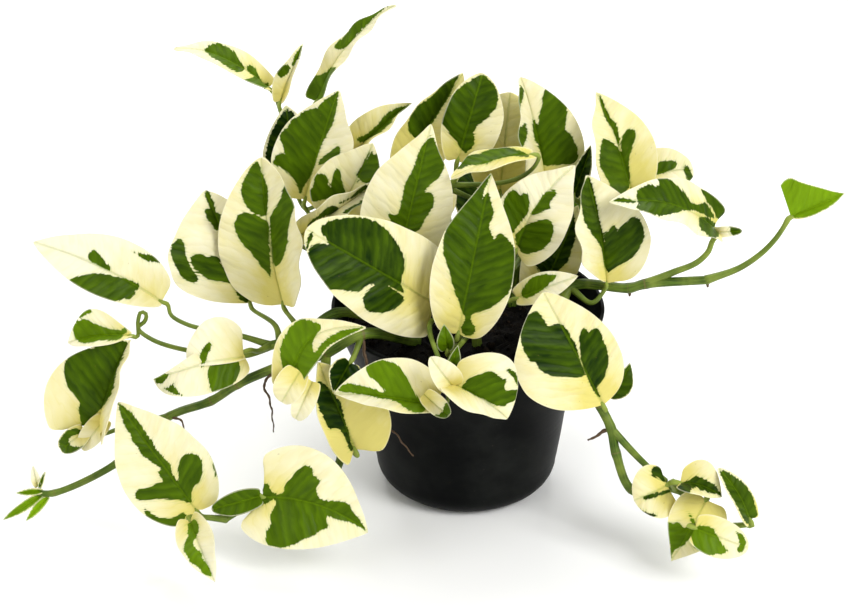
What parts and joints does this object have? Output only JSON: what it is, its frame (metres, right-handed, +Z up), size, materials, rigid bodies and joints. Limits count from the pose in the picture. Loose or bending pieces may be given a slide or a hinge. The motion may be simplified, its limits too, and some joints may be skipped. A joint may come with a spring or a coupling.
{
  "type": "potted njoy pothos",
  "caption": "Bushy trailing pothos with heart-shaped green and cream variegated leaves, rooted in soil in a dark flared round plastic pot.",
  "frame": {"origin": "middle of the flat underside of the pot", "axes": "+Z up, the front of the plant faces -Y, the long vine trails to -X"},
  "size_m": [0.3975, 0.2272, 0.2252],
  "materials": {
    "pot": "satin black moulded plastic",
    "soil": "loose dark potting mix",
    "stem": "smooth green living stem",
    "leaf": "satin leaf, green and cream"
  },
  "bodies": {
    "root": {"pot": "pot", "soil": "soil", "vine_right": "stem", "vine_front_right": "stem", "vine_left_upper": "stem", "vine_left_lower": "stem", "shoot_left": "stem", "shoot_center": "stem", "shoot_right": "stem", "shoot_front": "stem", "shoot_back_left": "stem", "shoot_back_right": "stem", "leaf_front_upright": "leaf", "leaf_front_wide": "leaf", "leaf_middle_pale": "leaf", "leaf_center_right": "leaf", "leaf_center_low": "leaf", "leaf_center_small": "leaf", "leaf_right_open": "leaf", "leaf_right_front": "leaf", "leaf_left_tall": "leaf", "leaf_left_behind": "leaf", "leaf_left_inner": "leaf", "leaf_left_edge_on": "leaf", "leaf_upper_left": "leaf", "leaf_upper_left_behind": "leaf", "leaf_top_far_left": "leaf", "leaf_top_narrow": "leaf", "leaf_top_long": "leaf", "leaf_top_yellow": "leaf", "leaf_top_olive": "leaf", "leaf_top_round": "leaf", "leaf_top_pale": "leaf", "leaf_top_right": "leaf", "leaf_middle_edge_on": "leaf", "leaf_right_upright": "leaf", "leaf_right_behind": "leaf", "leaf_right_sliver": "leaf", "leaf_right_arching": "leaf", "leaf_right_tip": "leaf", "leaf_far_left_top": "leaf", "leaf_far_left_folded": "leaf", "leaf_far_left_low": "leaf", "leaf_left_draped": "leaf", "leaf_left_rim": "leaf", "leaf_left_hanging": "leaf", "leaf_low_left": "leaf", "leaf_low_small": "leaf", "leaf_low_middle": "leaf", "leaf_left_tucked": "leaf", "leaf_bud": "leaf", "leaf_rim_front": "leaf", "leaf_rim_left": "leaf", "leaf_right_tucked": "leaf", "leaf_low_right_pale": "leaf", "leaf_low_right_folded": "leaf", "leaf_low_right_front": "leaf", "leaf_low_right_wide": "leaf", "leaf_low_right_dark": "leaf"}
  },
  "joints": []
}
